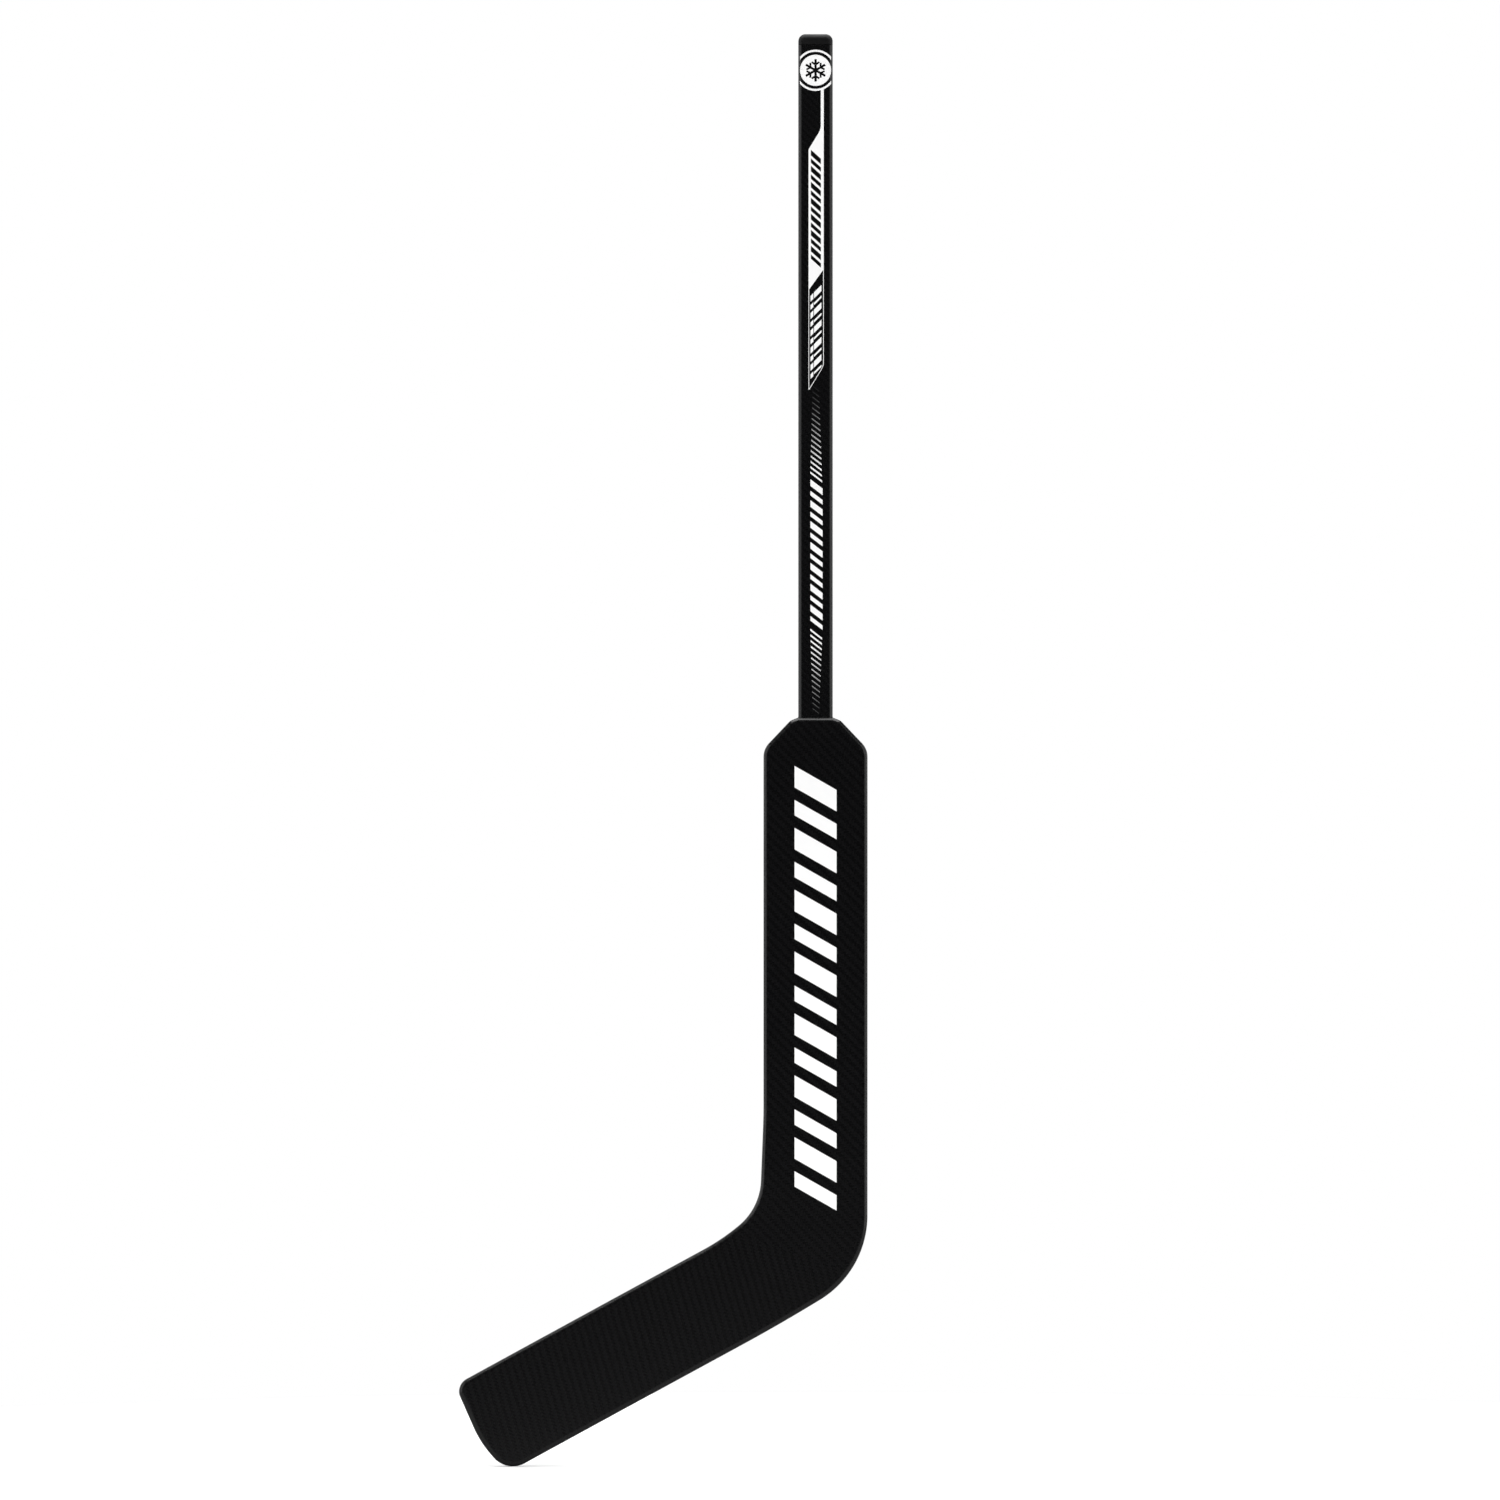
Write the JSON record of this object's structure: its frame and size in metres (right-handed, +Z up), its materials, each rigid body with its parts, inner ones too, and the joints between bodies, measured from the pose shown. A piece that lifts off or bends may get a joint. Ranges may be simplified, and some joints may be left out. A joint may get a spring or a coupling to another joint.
{
  "type": "ice hockey goalkeeper stick",
  "caption": "Black goalkeeper's ice hockey stick: slim rounded shaft, wide flat paddle and an angled, slightly curved blade with rounded heel and toe.",
  "frame": {"origin": "on the shaft's axis where it enters the paddle's shoulders, which is where the blocker hand holds the stick", "axes": "+Z up the shaft to the butt end; the blade runs towards -X and down; the front faces look along -Y"},
  "size_m": [0.3495, 0.0285, 1.2257],
  "materials": {
    "shaft_carbon": "satin",
    "paddle_laminate": "satin",
    "blade_laminate": "satin",
    "edge_rail": "satin",
    "edge_guard": "matte",
    "moulded_plug": "matte",
    "wood_core": "matte",
    "foam_core": "matte",
    "white_print": "satin"
  },
  "bodies": {
    "root": {"shaft_tube": "shaft_carbon", "butt_end_plug": "moulded_plug", "paddle_spine": "wood_core", "heel_block": "wood_core", "blade_rib": "wood_core", "paddle_core_heel_side": "foam_core", "paddle_core_toe_side": "foam_core", "blade_core_upper": "foam_core", "blade_core_lower": "foam_core", "paddle_rail_heel_side": "edge_rail", "paddle_rail_toe_side": "edge_rail", "blade_top_rail": "edge_rail", "heel_guard": "edge_guard", "toe_guard": "edge_guard", "blade_wear_strip": "edge_guard", "paddle_skin_front": "paddle_laminate", "paddle_skin_back": "paddle_laminate", "blade_skin_front": "blade_laminate", "blade_skin_back": "blade_laminate", "roundel_film_front": "white_print", "roundel_film_back": "white_print", "shaft_panel_film_front": "white_print", "shaft_panel_film_back": "white_print", "shaft_frame_film_front": "white_print", "shaft_frame_film_back": "white_print", "shaft_hash_film_front": "white_print", "shaft_hash_film_back": "white_print", "shaft_bars_film_front": "white_print", "shaft_bars_film_back": "white_print", "paddle_bars_film_front": "white_print", "paddle_bars_film_back": "white_print"}
  },
  "joints": []
}
